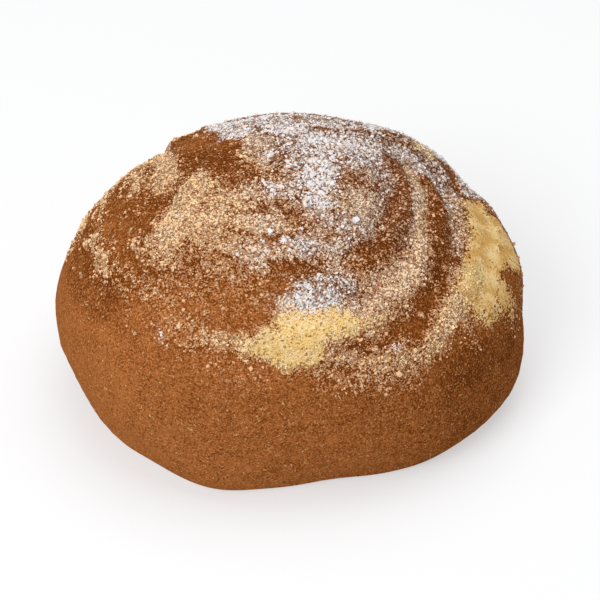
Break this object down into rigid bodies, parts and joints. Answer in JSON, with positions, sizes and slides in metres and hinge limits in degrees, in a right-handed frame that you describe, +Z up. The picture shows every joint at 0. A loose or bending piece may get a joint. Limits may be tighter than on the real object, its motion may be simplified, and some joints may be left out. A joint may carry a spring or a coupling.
{
  "type": "sweet brioche bun",
  "caption": "Whole round sweet bun: a tall oval dome with low spiral ridges, a fold and fused sugar lumps on top, and a flat baked underside.",
  "frame": {"origin": "middle of the flat underside, on the surface that the bun stands on", "axes": "+Z up; +X along the bun's longest width; -Y towards its front, the side with the wide brown flank"},
  "size_m": [0.141, 0.1244, 0.0763],
  "materials": {
    "crust": "matte browned bread crust, finely wrinkled, with pale specks",
    "sugar": "dry white sugar grains and lumps, faintly glossy",
    "toasted_sugar": "sugar and crumb toasted to cream and tan, matte"
  },
  "bodies": {
    "root": {"bun": "crust"}
  },
  "joints": []
}
